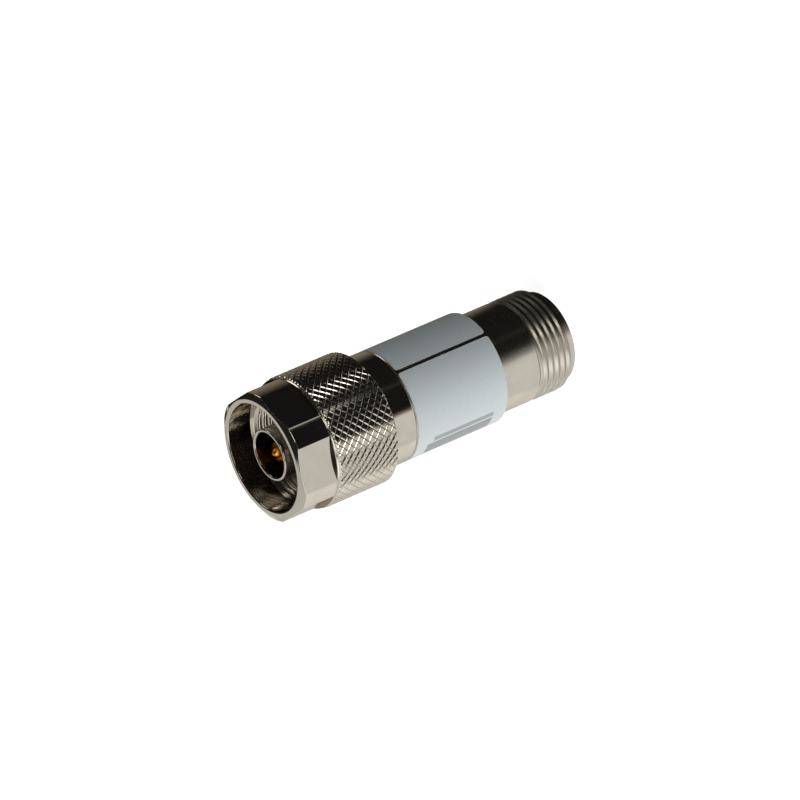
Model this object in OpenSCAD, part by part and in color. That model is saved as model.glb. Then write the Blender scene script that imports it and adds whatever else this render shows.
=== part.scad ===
// Fixed in-line coaxial attenuator: a plug with a free-running coupling nut at one end and a
// threaded jack at the other. It stands on its jack face. Z runs along the axis, from the jack
// face (Z = 0) up to the mouth of the coupling nut. All sizes are in millimetres.

/* [Jack end] */
// Diameter of the plain pilot at the jack face
pilot_d = 14.0; // [13.8:0.05:14.3]
// Length of the pilot
pilot_len = 1.15; // [0.9:0.05:1.3]
// Major diameter of the jack thread
thread_d = 15.7; // [15.66:0.02:15.84]
// Height at which the jack thread stops
thread_end = 6.5; // [6.3:0.1:6.6]
// Diameter of the relief groove behind the thread
relief_d = 15.0; // [14.9:0.1:15.2]
// Height at which the plain neck starts
neck_start = 7.4; // [7.3:0.1:7.8]
// Diameter of the plain neck
neck_d = 15.6; // [15.4:0.05:15.8]
// Diameter of the bore that takes the mating contact tube
jack_bore_d = 8.13; // [8.05:0.01:8.2]
// Depth of that bore, from the jack face to the mating plane
jack_bore_depth = 9.1; // [9.04:0.02:9.18]
// Height of the tip of the socket contact above the jack face
socket_tip = 3.84; // [3.6:0.02:4.1]
// Diameter of the hole in the socket contact
socket_hole_d = 1.66; // [1.6:0.02:1.7]
// Depth of the hole in the socket contact
socket_hole_depth = 5.6; // [5.0:0.1:6.0]
// Width of the spring slots in the socket contact
socket_slot = 0.25; // [0.15:0.01:0.3]

/* [Barrel and label] */
// Diameter of the barrel under the label
barrel_d = 17.1; // [16.9:0.05:17.3]
// Height of the step between neck and barrel
barrel_start = 13.9; // [13.6:0.1:14.1]
// Height of the joint between the barrel and the plug shell
joint_z = 30.5; // [30.2:0.1:30.8]
// Thickness of the label
label_t = 0.1; // [0.06:0.01:0.15]
// Height of the label's lower edge above the barrel step
label_low = 0.15; // [0.1:0.05:0.5]
// Distance from the label's upper edge to the joint
label_high = 0.25; // [0.15:0.05:0.5]
// Width of the label's open gap
label_gap = 0.62; // [0.4:0.02:1.0]
// Corner radius of the label
label_corner = 0.4; // [0.3:0.1:0.8]
// Direction of the label's gap around the axis, in degrees from X
label_gap_angle = 296; // [280:1:310]

/* [Plug shell] */
// Diameter of the shank between the label and the coupling nut
shank_d = 17.3; // [17.1:0.05:17.5]
// Height at which the shank ends and the nut journal starts
shank_end = 34.4; // [34.2:0.05:34.5]
// Rounding of the shank's rim at the joint
shank_round = 0.4; // [0.2:0.05:0.5]
// Diameter of the journal on which the coupling nut turns
journal_d = 14.06; // [14.02:0.02:14.14]
// Height of the gasket seat at the foot of the contact tube
seat_z = 41.5; // [41.3:0.1:41.7]
// Outer diameter of the contact tube
tube_d = 8.0; // [7.9:0.02:8.02]
// Inner diameter of the coaxial line
line_d = 7.0; // [6.9:0.02:7.04]
// Recess of the contact tube's face behind the mouth of the nut
tube_recess = 1.25; // [1.0:0.05:1.5]
// Recess of the pin's tip behind the contact tube's face
pin_recess = 0.65; // [0.4:0.05:0.9]
// Distance from the contact tube's face to the shoulder of the pin
pin_shoulder = 5.26; // [5.2:0.02:5.4]
// Diameter of the pin's mating end
pin_d = 1.65; // [1.6:0.01:1.68]
// Diameter of the centre conductor
centre_d = 3.04; // [2.96:0.02:3.1]

/* [Coupling nut] */
// Height of the nut's rear face
nut_start = 34.6; // [34.55:0.05:35.0]
// Height of the nut's mouth
nut_end = 52.1; // [51.9:0.1:52.4]
// Diameter over the knurl
nut_d = 20.4; // [20.2:0.05:20.6]
// Diameter over the lands between the flats
land_d = 20.0; // [19.9:0.05:20.1]
// Distance across the milled flats
nut_af = 18.75; // [18.6:0.05:18.9]
// Length of the milled flats
flat_len = 5.65; // [5.4:0.05:5.9]
// Turn of the flats about the axis, in degrees from X
flat_turn = 4.5; // [0:0.5:30]
// Outer diameter of the flat ring at the mouth
rim_d = 18.2; // [18.0:0.02:18.4]
// Diameter of the smooth counterbore in the mouth
mouth_d = 16.74; // [16.6:0.02:16.9]
// Depth of the counterbore
mouth_depth = 4.35; // [4.1:0.05:4.6]
// Minor diameter of the nut's thread
nut_thread_d = 14.9; // [14.74:0.02:14.98]
// Height at which the nut's thread stops
nut_thread_stop = 42.9; // [42.7:0.1:43.1]
// Radial clearance between the nut and its journal
nut_play = 0.07; // [0.03:0.01:0.1]

/* [Inside] */
// Diameter of the bead seats
bead_d = 8.8; // [8.6:0.1:9.0]
// Height of the jack bead's lower face
jack_bead_z = 10.6; // [10.4:0.1:10.8]
// Height of the plug bead's upper face
plug_bead_z = 40.2; // [40.0:0.1:40.4]
// Thickness of the beads
bead_t = 2.8; // [2.6:0.1:3.0]
// Diameter of the contacts where the beads grip them
bead_neck_d = 2.2; // [2.0:0.1:2.4]
// Diameter of the chamber that holds the chip carrier
chamber_d = 10.2; // [10.0:0.1:10.4]
// Diameter of the channel along the carrier
channel_d = 5.4; // [5.0:0.1:5.6]
// Width of the chip
chip_w = 7.2; // [6.8:0.1:7.4]
// Thickness of the chip
chip_t = 0.64; // [0.5:0.02:0.8]
// Length of the chip
chip_len = 9.5; // [9.0:0.1:9.6]

/* [Hidden] */
$fn = 96;

// Heights along the stack
tube_end = nut_end - tube_recess;
pin_tip = tube_end - pin_recess;
shoulder_z = tube_end - pin_shoulder;
ring_top = jack_bead_z + bead_t + 1.2;
spigot_z = joint_z - 4.1;
spigot_end = spigot_z + 0.2;
plug_bead_low = plug_bead_z - bead_t;
chip_mid = (ring_top + spigot_end) / 2;
chip_low = chip_mid - chip_len / 2;
chip_high = chip_mid + chip_len / 2;
carrier_low = ring_top + 0.1;
carrier_high = spigot_end - 0.3;
ring_low = 38.3;
ring_high = 39.3;

// Radii
spigot_r = 7.0;
journal_r = journal_d / 2;
nut_bore_r = journal_r + nut_play;
tail_r = 1.0;
tail_over = 2.0;

// Colours as the photo shows them
nickel = [0.72, 0.70, 0.66];
gold = [0.80, 0.56, 0.22];
white_bead = [0.93, 0.93, 0.90];
label_grey = [0.70, 0.75, 0.78];
seal_red = [0.50, 0.16, 0.10];
ceramic = [0.88, 0.87, 0.82];
spring_brown = [0.62, 0.46, 0.30];

// A point list along a quarter of a rounded edge: centre (r, z), radius, start and end angle
function arc(cr, cz, rad, a0, a1, n = 6) =
    [for (i = [0:n]) let (a = a0 + (a1 - a0) * i / n) [cr + rad * cos(a), cz + rad * sin(a)]];

// A turned shape from points (radius, height)
module turned(points) {
    rotate_extrude() polygon(points);
}

// A plain tube between two heights
module tube(r_out, r_in, z0, z1) {
    difference() {
        translate([0, 0, z0]) cylinder(r = r_out, h = z1 - z0);
        translate([0, 0, z0 - 1]) cylinder(r = r_in, h = z1 - z0 + 2);
    }
}

// A cut as wide as the chip, across a contact's tail
module tail_slot(z0, z1) {
    translate([-3, -chip_t / 2 - 0.01, z0]) cube([6, chip_t + 0.02, z1 - z0]);
}

// Barrel and jack, turned in one piece
module main_body() color(nickel) {
    jb = jack_bore_d / 2;
    pr = pilot_d / 2;
    tr = thread_d / 2;
    rr = relief_d / 2;
    nr = neck_d / 2;
    br = barrel_d / 2;
    turned(concat(
        [[jb + 0.4, 0], [pr - 0.4, 0], [pr, 0.4], [pr, pilot_len],
         [tr, pilot_len + (tr - pr)], [tr, thread_end],
         [rr, thread_end + (tr - rr)],
         [rr, max(thread_end + (tr - rr) + 0.05, neck_start - (nr - rr))]],
        arc(nr - 0.35, neck_start + 0.35, 0.35, -45, 0, 4),
        [[nr, barrel_start]],
        arc(br - 0.3, barrel_start + 0.3, 0.3, -90, 0, 4),
        [[br, joint_z - 0.15], [br - 0.15, joint_z],
         [spigot_r, joint_z], [spigot_r, spigot_z],
         [chamber_d / 2, spigot_z], [chamber_d / 2, ring_top],
         [bead_d / 2, ring_top], [bead_d / 2, jack_bead_z],
         [line_d / 2, jack_bead_z], [line_d / 2, jack_bore_depth],
         [jb, jack_bore_depth], [jb, 0.4]]));
}

// Film label round the barrel, open along one line, with rounded corners at the gap
module label() color(label_grey) {
    z0 = barrel_start + label_low;
    z1 = joint_z - label_high;
    g = label_gap / 2;
    c = label_corner;
    // right side of the gap, flaring a hair past the label's edges at its rounded corners
    right = concat([[g + c, z0 - 0.5]],
                   [for (p = arc(0, 0, c, 270, 180, 5)) [g + c + p[0], z0 + c + p[1] * 1.015]],
                   [for (p = arc(0, 0, c, 180, 90, 5)) [g + c + p[0], z1 - c + p[1] * 1.015]],
                   [[g + c, z1 + 0.5]]);
    left = [for (i = [len(right) - 1:-1:0]) [-right[i][0], right[i][1]]];
    difference() {
        tube(barrel_d / 2 + label_t, barrel_d / 2, z0, z1);
        rotate([0, 0, label_gap_angle]) translate([barrel_d / 2 - 1, 0, 0])
            rotate([90, 0, 90]) linear_extrude(height = 2) polygon(concat(right, left));
    }
}

// Plug half, turned in one piece: spigot, shank, journal, contact tube
module plug_shell() color(nickel) {
    sr = shank_d / 2;
    tb = tube_d / 2;
    lr = line_d / 2;
    turned(concat(
        [[bead_d / 2, spigot_end], [spigot_r - 0.2, spigot_end], [spigot_r, spigot_end + 0.2],
         [spigot_r, joint_z]],
        arc(sr - shank_round, joint_z + shank_round, shank_round, -90, 0, 6),
        [[sr, shank_end - 0.2], [sr - 0.2, shank_end],
         [journal_r, shank_end],
         [journal_r, ring_low - 0.2], [6.2, ring_low - 0.2],
         [6.2, ring_high + 0.2], [journal_r, ring_high + 0.2],
         [journal_r, seat_z - 0.25], [journal_r - 0.25, seat_z],
         [tb, seat_z]],
        arc(tb - 0.18, tube_end - 0.18, 0.18, 0, 90, 4),
        [[lr + 0.14, tube_end], [lr, tube_end - 0.14], [lr, plug_bead_z],
         [bead_d / 2, plug_bead_z]]));
}

// Coupling nut: knurled round bar with six milled flats, counterbore, thread and journal bore
module coupling_nut() color(nickel) {
    r = nut_d / 2;
    lr = land_d / 2;
    mr = mouth_d / 2;
    tr = nut_thread_d / 2;
    step_z = nut_end - mouth_depth;
    difference() {
        turned([[nut_bore_r + 0.3, nut_start], [r - 1.0, nut_start], [r, nut_start + 0.6],
                [r, nut_end - 6.55], [lr, nut_end - 6.55 + (r - lr)],
                [lr, nut_end - 0.48], [rim_d / 2, nut_end],
                [mr + 0.15, nut_end], [mr, nut_end - 0.15], [mr, step_z],
                [tr + 0.5, step_z], [tr, step_z - 0.4], [tr, nut_thread_stop],
                [tr + 0.5, nut_thread_stop - 0.4], [tr + 0.5, seat_z - 0.3],
                [nut_bore_r, seat_z - 1.1], [nut_bore_r, ring_high],
                [7.9, ring_high], [7.9, ring_low], [nut_bore_r, ring_low],
                [nut_bore_r, nut_start + 0.3]]);
        translate([0, 0, nut_end - flat_len]) difference() {
            cylinder(r = r + 1, h = flat_len + 1);
            translate([0, 0, -1]) rotate([0, 0, flat_turn - 30])
                cylinder(r = nut_af / 2 / cos(30), h = flat_len + 3, $fn = 6);
        }
    }
}

// Split spring ring between the nut and the shell's groove
module snap_ring() color(spring_brown) {
    difference() {
        tube(7.75, 6.5, ring_low, ring_high);
        translate([5, -1.2, ring_low - 1]) cube([5, 2.4, ring_high - ring_low + 2]);
    }
}

// Flat seal at the foot of the contact tube
module gasket() color(seal_red) {
    turned(concat([[4.6, seat_z], [6.8, seat_z]],
                  arc(6.65, seat_z + 1.15, 0.15, 0, 90, 3),
                  arc(4.75, seat_z + 1.15, 0.15, 90, 180, 3)));
}

// Centre pin of the plug, with a rounded tip and a slotted tail
module plug_pin() color(gold) {
    cr = centre_d / 2;
    pr = pin_d / 2;
    nr = bead_neck_d / 2;
    difference() {
        turned(concat(
            [[0, chip_high - tail_over], [tail_r - 0.15, chip_high - tail_over],
             [tail_r, chip_high - tail_over + 0.15], [tail_r, spigot_end - 0.4], [cr, spigot_end - 0.4],
             [cr, plug_bead_low], [nr, plug_bead_low], [nr, plug_bead_z], [cr, plug_bead_z],
             [cr, shoulder_z - 0.15], [cr - 0.15, shoulder_z], [pr, shoulder_z]],
            arc(pr - 0.62, pin_tip - 0.62, 0.62, 0, 90, 6),
            [[0, pin_tip]]));
        tail_slot(chip_high - tail_over - 1, chip_high + 0.15);
    }
}

// Bead that carries the pin
module plug_bead() color(white_bead)
    tube(bead_d / 2, bead_neck_d / 2, plug_bead_low, plug_bead_z);

// Bush behind the plug bead: the outer conductor of the line there
module plug_liner() color(nickel)
    tube(bead_d / 2, line_d / 2, spigot_end, plug_bead_low);

// Socket contact of the jack, with four spring slots and a slotted tail
module jack_socket() color(gold) {
    cr = centre_d / 2;
    hr = socket_hole_d / 2;
    nr = bead_neck_d / 2;
    top = jack_bead_z + bead_t;
    difference() {
        turned([[hr + 0.2, socket_tip], [cr - 0.12, socket_tip], [cr, socket_tip + 0.12],
                [cr, jack_bead_z], [nr, jack_bead_z], [nr, top], [cr, top],
                [cr, ring_top + 0.3], [tail_r, ring_top + 0.3],
                [tail_r, chip_low + tail_over - 0.15],
                [tail_r - 0.15, chip_low + tail_over], [0, chip_low + tail_over],
                [0, socket_tip + socket_hole_depth + 0.4],
                [hr, socket_tip + socket_hole_depth], [hr, socket_tip + 0.2]]);
        tail_slot(chip_low - 0.15, chip_low + tail_over + 1);
        for (a = [45, 135]) rotate([0, 0, a])
            translate([-3, -socket_slot / 2, socket_tip - 1]) cube([6, socket_slot, 5.2]);
    }
}

// Bead that carries the socket contact
module jack_bead() color(white_bead)
    tube(bead_d / 2, bead_neck_d / 2, jack_bead_z, jack_bead_z + bead_t);

// Press-in ring that keeps the jack bead in its seat
module jack_bead_ring() color(nickel)
    tube(bead_d / 2, line_d / 2, jack_bead_z + bead_t, ring_top);

// Ceramic plate with the resistive film, between the two contact tails
module attenuator_chip() color(ceramic)
    translate([-chip_w / 2, -chip_t / 2, chip_low]) cube([chip_w, chip_t, chip_len]);

// Half-round ground carrier: a half cylinder with a channel and a pocket for the chip's edge
module carrier_half() {
    difference() {
        translate([0, 0, carrier_low]) cylinder(r = chamber_d / 2, h = carrier_high - carrier_low);
        translate([0, 0, carrier_low - 1]) cylinder(r = channel_d / 2, h = carrier_high - carrier_low + 2);
        translate([-chamber_d, -2 * chamber_d + 0.01, carrier_low - 1])
            cube([2 * chamber_d, 2 * chamber_d, carrier_high - carrier_low + 2]);
        translate([-chip_w / 2 - 0.05, -1, chip_low - 0.05])
            cube([chip_w + 0.1, 1 + chip_t / 2 + 0.01, chip_len + 0.1]);
    }
}

module carrier_half_a() color(nickel) carrier_half();

module carrier_half_b() color(nickel) rotate([0, 0, 180]) carrier_half();

main_body();
label();
plug_shell();
coupling_nut();
snap_ring();
gasket();
plug_pin();
plug_bead();
plug_liner();
jack_socket();
jack_bead();
jack_bead_ring();
attenuator_chip();
carrier_half_a();
carrier_half_b();
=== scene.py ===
import math

import bmesh
import bpy
import numpy as np
from mathutils import Matrix, Vector


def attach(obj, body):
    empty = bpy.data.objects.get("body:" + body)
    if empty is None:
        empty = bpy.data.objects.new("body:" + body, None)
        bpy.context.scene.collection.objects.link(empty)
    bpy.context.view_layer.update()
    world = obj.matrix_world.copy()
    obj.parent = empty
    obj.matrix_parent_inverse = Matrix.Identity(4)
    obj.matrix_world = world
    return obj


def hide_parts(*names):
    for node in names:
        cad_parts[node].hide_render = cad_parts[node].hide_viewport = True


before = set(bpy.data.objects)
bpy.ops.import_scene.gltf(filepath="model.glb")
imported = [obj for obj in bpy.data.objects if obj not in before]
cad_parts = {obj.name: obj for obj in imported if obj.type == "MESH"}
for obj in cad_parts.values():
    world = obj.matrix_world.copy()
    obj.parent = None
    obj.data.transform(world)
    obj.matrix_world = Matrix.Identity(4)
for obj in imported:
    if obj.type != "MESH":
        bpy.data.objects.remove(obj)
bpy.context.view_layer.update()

MM = 0.001
TAU = 2.0 * math.pi


# ---------------------------------------------------------------------------------------------
# Camera: looks down on the standing part at 29.8 degrees and is rolled, so that the axis runs
# from the lower left to the upper right of the picture.
# ---------------------------------------------------------------------------------------------
ELEVATION = math.radians(29.83)
ROLL = math.radians(-113.3)
DISTANCE = 1.460
BACK = Vector((0.0, -math.cos(ELEVATION), math.sin(ELEVATION)))
LEVEL = Vector((1.0, 0.0, 0.0))
RISE = Vector((0.0, math.sin(ELEVATION), math.cos(ELEVATION)))
CAM_RIGHT = LEVEL * math.cos(ROLL) + RISE * math.sin(ROLL)
CAM_UP = RISE * math.cos(ROLL) - LEVEL * math.sin(ROLL)


def make_camera():
    cam = bpy.data.cameras.new("camera")
    cam.lens = 452.0
    cam.sensor_width = 36.0
    cam.sensor_fit = "HORIZONTAL"
    cam.clip_start = 0.05
    cam.clip_end = 20.0
    obj = bpy.data.objects.new("camera", cam)
    target = Vector((0.0, 0.0, 0.0271)) - CAM_UP * 0.000142 - CAM_RIGHT * 0.000052
    turn = Matrix((CAM_RIGHT, CAM_UP, BACK)).transposed().to_4x4()
    obj.matrix_world = Matrix.Translation(target + BACK * DISTANCE) @ turn
    bpy.context.scene.collection.objects.link(obj)
    bpy.context.scene.camera = obj


# ---------------------------------------------------------------------------------------------
# Mesh building: rings of points joined by bands of faces, with a normal for every face corner.
# All lengths in this section are millimetres.
# ---------------------------------------------------------------------------------------------
class Shell:
    def __init__(self):
        self.points, self.count = [], 0
        self.faces, self.corners, self.slots = [], [], []

    def ring(self, pts):
        pts = np.asarray(pts, float).reshape(-1, 3)
        index = np.arange(self.count, self.count + len(pts))
        self.points.append(pts)
        self.count += len(pts)
        return index

    def add(self, faces, corners, slot=0):
        self.faces.append(np.asarray(faces, int))
        self.corners.append(np.asarray(corners, float))
        self.slots.append(np.full(len(faces), slot, int))

    def band(self, a, b, na, nb, slot=0, closed=True):
        """Quads between two rings with equally many points."""
        k = len(a)
        i = np.arange(k if closed else k - 1)
        j = (i + 1) % k
        self.add(np.stack([a[i], a[j], b[j], b[i]], 1),
                 np.stack([na[i], na[j], nb[j], nb[i]], 1), slot)

    def facet_band(self, a, b, theta, dt, z0, z1, main, normal_of, slot=0):
        """Triangles between two rings of a relief, cut along the diagonal that main picks; the
        normal of every corner is taken a little inside its triangle, so facets stay flat."""
        k = len(a)
        i = np.arange(k)
        j = (i + 1) % k
        row = i[:, None]
        q = np.stack([a[i], a[j], b[j], b[i]], 1)
        t = np.stack([theta, theta + dt, theta + dt, theta], 1)
        z = np.broadcast_to(np.array([z0, z0, z1, z1]), (k, 4))
        for yes, no in (([0, 1, 2], [0, 1, 3]), ([0, 2, 3], [1, 2, 3])):
            pick = np.where(main[:, None], [yes], [no])
            tt, zz = t[row, pick], z[row, pick]
            tm, zm = tt.mean(1, keepdims=True), zz.mean(1, keepdims=True)
            self.add(q[row, pick], normal_of(tt + 0.3 * (tm - tt), zz + 0.3 * (zm - zz)), slot)

    def zip(self, a, ta, b, tb, na, nb, slot=0):
        """Triangles between two rings with different numbers of points, matched by angle."""
        faces, corners = [], []
        ka, kb = len(a), len(b)
        # both angle lists rise over one turn; start ring b at the point nearest to a's first
        s = int(np.argmin(np.abs((tb - ta[0] + math.pi) % TAU - math.pi)))
        order = (np.arange(kb) + s) % kb
        xa = ta - ta[0]
        xb = (tb[order] - ta[0] + math.pi) % TAU - math.pi
        xb = np.where(np.arange(kb) > 0, np.where(xb < xb[0] - 1e-9, xb + TAU, xb), xb)
        xa = np.append(xa, xa[0] + TAU)
        xb = np.append(xb, xb[0] + TAU)
        i = j = 0
        while i < ka or j < kb:
            step_a = j >= kb or (i < ka and xa[i + 1] <= xb[j + 1])
            p, q = i % ka, order[j % kb]
            if step_a:
                p2 = (i + 1) % ka
                faces.append((a[p], a[p2], b[q]))
                corners.append((na[p], na[p2], nb[q]))
                i += 1
            else:
                q2 = order[(j + 1) % kb]
                faces.append((a[p], b[q2], b[q]))
                corners.append((na[p], nb[q2], nb[q]))
                j += 1
        self.add(faces, corners, slot)

    def fan(self, a, tip, na, ntip, slot=0):
        """Triangles from a ring to one point."""
        k = len(a)
        i = np.arange(k)
        j = (i + 1) % k
        t = np.full(k, int(tip[0]))
        self.add(np.stack([a[i], a[j], t], 1),
                 np.stack([na[i], na[j], np.broadcast_to(ntip, (k, 3))], 1), slot)

    def make(self, name, materials):
        pts = np.concatenate(self.points)
        faces, normals, slots = [], [], []
        for f, c, s in zip(self.faces, self.corners, self.slots):
            p = pts[f]
            if f.shape[1] == 4:
                g = np.cross(p[:, 2] - p[:, 0], p[:, 3] - p[:, 1])
            else:
                g = np.cross(p[:, 1] - p[:, 0], p[:, 2] - p[:, 0])
            wrong = (g * c.mean(1)).sum(1) < 0
            f = np.where(wrong[:, None], f[:, ::-1], f)
            c = np.where(wrong[:, None, None], c[:, ::-1], c)
            faces.extend(f.tolist())
            normals.append(c.reshape(-1, 3))
            slots.append(s)
        mesh = bpy.data.meshes.new(name)
        mesh.from_pydata((pts * MM).tolist(), [], faces)
        mesh.polygons.foreach_set("use_smooth", np.ones(len(faces), bool))
        mesh.polygons.foreach_set("material_index", np.concatenate(slots))
        mesh.update()
        n = np.concatenate(normals)
        n = n / np.linalg.norm(n, axis=1)[:, None]
        mesh.normals_split_custom_set(n.tolist())
        obj = bpy.data.objects.new(name, mesh)
        for m in materials:
            mesh.materials.append(m)
        bpy.context.scene.collection.objects.link(obj)
        return obj


def soften(points, fillet=0.05, closed=True):
    """Rounds the corners of an outline given as (radius, height[, fillet]) in counter-clockwise
    order, and returns rows of (radius, height, normal radius, normal height)."""
    pts = [(p[0], p[1], p[2] if len(p) > 2 else fillet) for p in points]
    n = len(pts)
    rows = []
    for i in range(n):
        p = np.array(pts[i][:2], float)
        if not closed and i in (0, n - 1):
            q = np.array(pts[1 if i == 0 else n - 2][:2], float)
            d = (q - p) if i == 0 else (p - q)
            d = d / np.linalg.norm(d)
            rows.append((p[0], p[1], d[1], -d[0]))
            continue
        a = np.array(pts[(i - 1) % n][:2], float)
        b = np.array(pts[(i + 1) % n][:2], float)
        d1, d2 = p - a, b - p
        l1, l2 = np.linalg.norm(d1), np.linalg.norm(d2)
        d1, d2 = d1 / l1, d2 / l2
        n1, n2 = np.array([d1[1], -d1[0]]), np.array([d2[1], -d2[0]])
        turn = math.atan2(d1[0] * d2[1] - d1[1] * d2[0], float(d1 @ d2))
        if abs(turn) < math.radians(2.0):
            m = (n1 + n2) / np.linalg.norm(n1 + n2)
            rows.append((p[0], p[1], m[0], m[1]))
            continue
        reach = min(abs(pts[i][2] * math.tan(turn / 2)), 0.47 * l1, 0.47 * l2)
        rad = reach / math.tan(abs(turn) / 2)
        start = math.atan2(n1[1], n1[0])
        bis = (n1 + n2) / np.linalg.norm(n1 + n2)
        side = 1.0 if turn > 0 else -1.0
        centre = p - side * bis * rad / math.cos(turn / 2)
        steps = max(2, int(math.ceil(abs(turn) / math.radians(18.0))))
        for k in range(steps + 1):
            t = start + turn * k / steps
            v = np.array([math.cos(t), math.sin(t)])
            c = centre + side * rad * v
            rows.append((c[0], c[1], v[0], v[1]))
    return rows


def circle(r, z, theta):
    return np.stack([r * np.cos(theta), r * np.sin(theta), np.broadcast_to(z, theta.shape)], 1)


def lean(nr, nz, theta):
    """Normals with a radial and an axial part round a ring."""
    return np.stack([nr * np.cos(theta), nr * np.sin(theta), np.broadcast_to(nz, theta.shape)], 1)


def lathe_rows(shell, rows, theta, slot=0, closed=False):
    """Turns an outline; returns the first and last ring with their normals."""
    rings = [(shell.ring(circle(r, z, theta)), lean(nr, nz, theta)) for r, z, nr, nz in rows]
    pairs = list(zip(rings, rings[1:] + rings[:1])) if closed else list(zip(rings, rings[1:]))
    for (a, na), (b, nb) in pairs:
        shell.band(a, b, na, nb, slot)
    return rings[0], rings[-1]


def angles(n, turn=0.0):
    return np.arange(n) * TAU / n + turn


def relief_normal(radius, t, z, step):
    """Outward normals of a surface radius(theta, z), measured over a small step."""
    r = radius(t, z)
    rt = (radius(t + step / 10.0, z) - radius(t - step / 10.0, z)) / (step / 5.0)
    rz = (radius(t, z + step) - radius(t, z - step)) / (2.0 * step)
    n = np.stack([r * np.cos(t) + rt * np.sin(t), r * np.sin(t) - rt * np.cos(t), -r * rz], -1)
    return n / np.linalg.norm(n, axis=-1)[..., None]


def relief_grid(shell, radius, theta, zs, step, inward=False, slot=0, facets=False):
    """A surface radius(theta, z) over a grid of angles and heights, with normals measured over
    a small step, so that its edges are slightly rounded. Returns the first and last ring."""
    t, z = np.meshgrid(theta, zs)
    r = radius(t, z)
    n = relief_normal(radius, t, z, step)
    if inward:
        n = -n
    pts = np.stack([r * np.cos(t), r * np.sin(t), z], -1)
    rings = [shell.ring(p) for p in pts]
    dt = theta[1] - theta[0]
    for k in range(len(zs) - 1):
        if facets:
            mid = radius(theta + dt / 2, np.full_like(theta, (zs[k] + zs[k + 1]) / 2))
            nxt = np.roll(np.arange(len(theta)), -1)
            d_main = np.abs((r[k] + r[k + 1][nxt]) / 2 - mid)
            d_other = np.abs((r[k][nxt] + r[k + 1]) / 2 - mid)
            shell.facet_band(rings[k], rings[k + 1], theta, dt, zs[k], zs[k + 1], d_main <= d_other,
                             lambda a, b: relief_normal(radius, a, b, step), slot)
        else:
            shell.band(rings[k], rings[k + 1], n[k], n[k + 1], slot)
    return (rings[0], n[0]), (rings[-1], n[-1])


# One turn of a 60 degree thread as a smooth table: 0 on the crest, 1 in the root
PITCH = 25.4 / 24.0
_x = np.arange(512) / 512.0
_g = np.clip((np.abs(_x - 0.5) * -1.0 + 0.40) / 0.30, 0.0, 1.0)
_k = np.exp(-0.5 * (np.minimum(_x, 1.0 - _x) / 0.11) ** 2)
THREAD = np.real(np.fft.ifft(np.fft.fft(_g) * np.fft.fft(_k / _k.sum())))
THREAD = (THREAD - THREAD.min()) / (THREAD.max() - THREAD.min())


def thread_cut(theta, z, phase=0.0):
    """Right-hand helix: how deep the groove is at a point, from 0 to 1."""
    x = (z / PITCH - theta / TAU + phase) % 1.0
    return np.interp(x * 512.0, np.arange(513), np.append(THREAD, THREAD[0]))


# ---------------------------------------------------------------------------------------------
# Materials
# ---------------------------------------------------------------------------------------------
class Nodes:
    """A short way to write node trees."""

    def __init__(self, name):
        self.mat = bpy.data.materials.new(name)
        self.mat.use_nodes = True
        self.tree = self.mat.node_tree
        self.tree.nodes.clear()
        self.out = self.new("ShaderNodeOutputMaterial")

    def new(self, kind, **settings):
        node = self.tree.nodes.new(kind)
        for key, value in settings.items():
            setattr(node, key, value)
        return node

    def link(self, a, b):
        self.tree.links.new(a, b)

    def put(self, socket, value):
        if hasattr(value, "is_output"):
            self.link(value, socket)
        else:
            socket.default_value = value

    def math(self, op, a, b=0.0, c=None, clamp=False):
        node = self.new("ShaderNodeMath", operation=op, use_clamp=clamp)
        self.put(node.inputs[0], a)
        self.put(node.inputs[1], b)
        if c is not None:
            self.put(node.inputs[2], c)
        return node.outputs[0]

    def ramp(self, value, low, high, to_low=0.0, to_high=1.0, smooth=False):
        node = self.new("ShaderNodeMapRange", interpolation_type="SMOOTHSTEP" if smooth else "LINEAR")
        self.put(node.inputs["Value"], value)
        node.inputs["From Min"].default_value = low
        node.inputs["From Max"].default_value = high
        node.inputs["To Min"].default_value = to_low
        node.inputs["To Max"].default_value = to_high
        return node.outputs["Result"]

    def mix(self, factor, a, b):
        node = self.new("ShaderNodeMix", data_type="RGBA")
        self.put(node.inputs["Factor"], factor)
        self.put(node.inputs[6], a)
        self.put(node.inputs[7], b)
        return node.outputs[2]

    def noise(self, vector, scale, detail=3.0, rough=0.5):
        node = self.new("ShaderNodeTexNoise")
        self.put(node.inputs["Vector"], vector)
        node.inputs["Scale"].default_value = scale
        node.inputs["Detail"].default_value = detail
        node.inputs["Roughness"].default_value = rough
        return node.outputs["Fac"]

    def place(self):
        """Object coordinates, in metres, with x, y, z and the distance from the axis."""
        co = self.new("ShaderNodeTexCoord").outputs["Object"]
        sep = self.new("ShaderNodeSeparateXYZ")
        self.link(co, sep.inputs[0])
        x, y, z = sep.outputs
        r = self.math("SQRT", self.math("ADD", self.math("MULTIPLY", x, x), self.math("MULTIPLY", y, y)))
        return co, x, y, z, r

    def combine(self, x, y, z):
        node = self.new("ShaderNodeCombineXYZ")
        for socket, value in zip(node.inputs, (x, y, z)):
            self.put(socket, value)
        return node.outputs[0]

    def bump(self, height, strength, distance, normal=None):
        node = self.new("ShaderNodeBump")
        node.inputs["Strength"].default_value = strength
        node.inputs["Distance"].default_value = distance
        self.put(node.inputs["Height"], height)
        if normal is not None:
            self.link(normal, node.inputs["Normal"])
        return node.outputs["Normal"]

    def surface(self, **sockets):
        node = self.new("ShaderNodeBsdfPrincipled")
        for key, value in sockets.items():
            self.put(node.inputs[key.replace("_", " ")], value)
        self.link(node.outputs[0], self.out.inputs["Surface"])
        return self.mat


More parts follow.
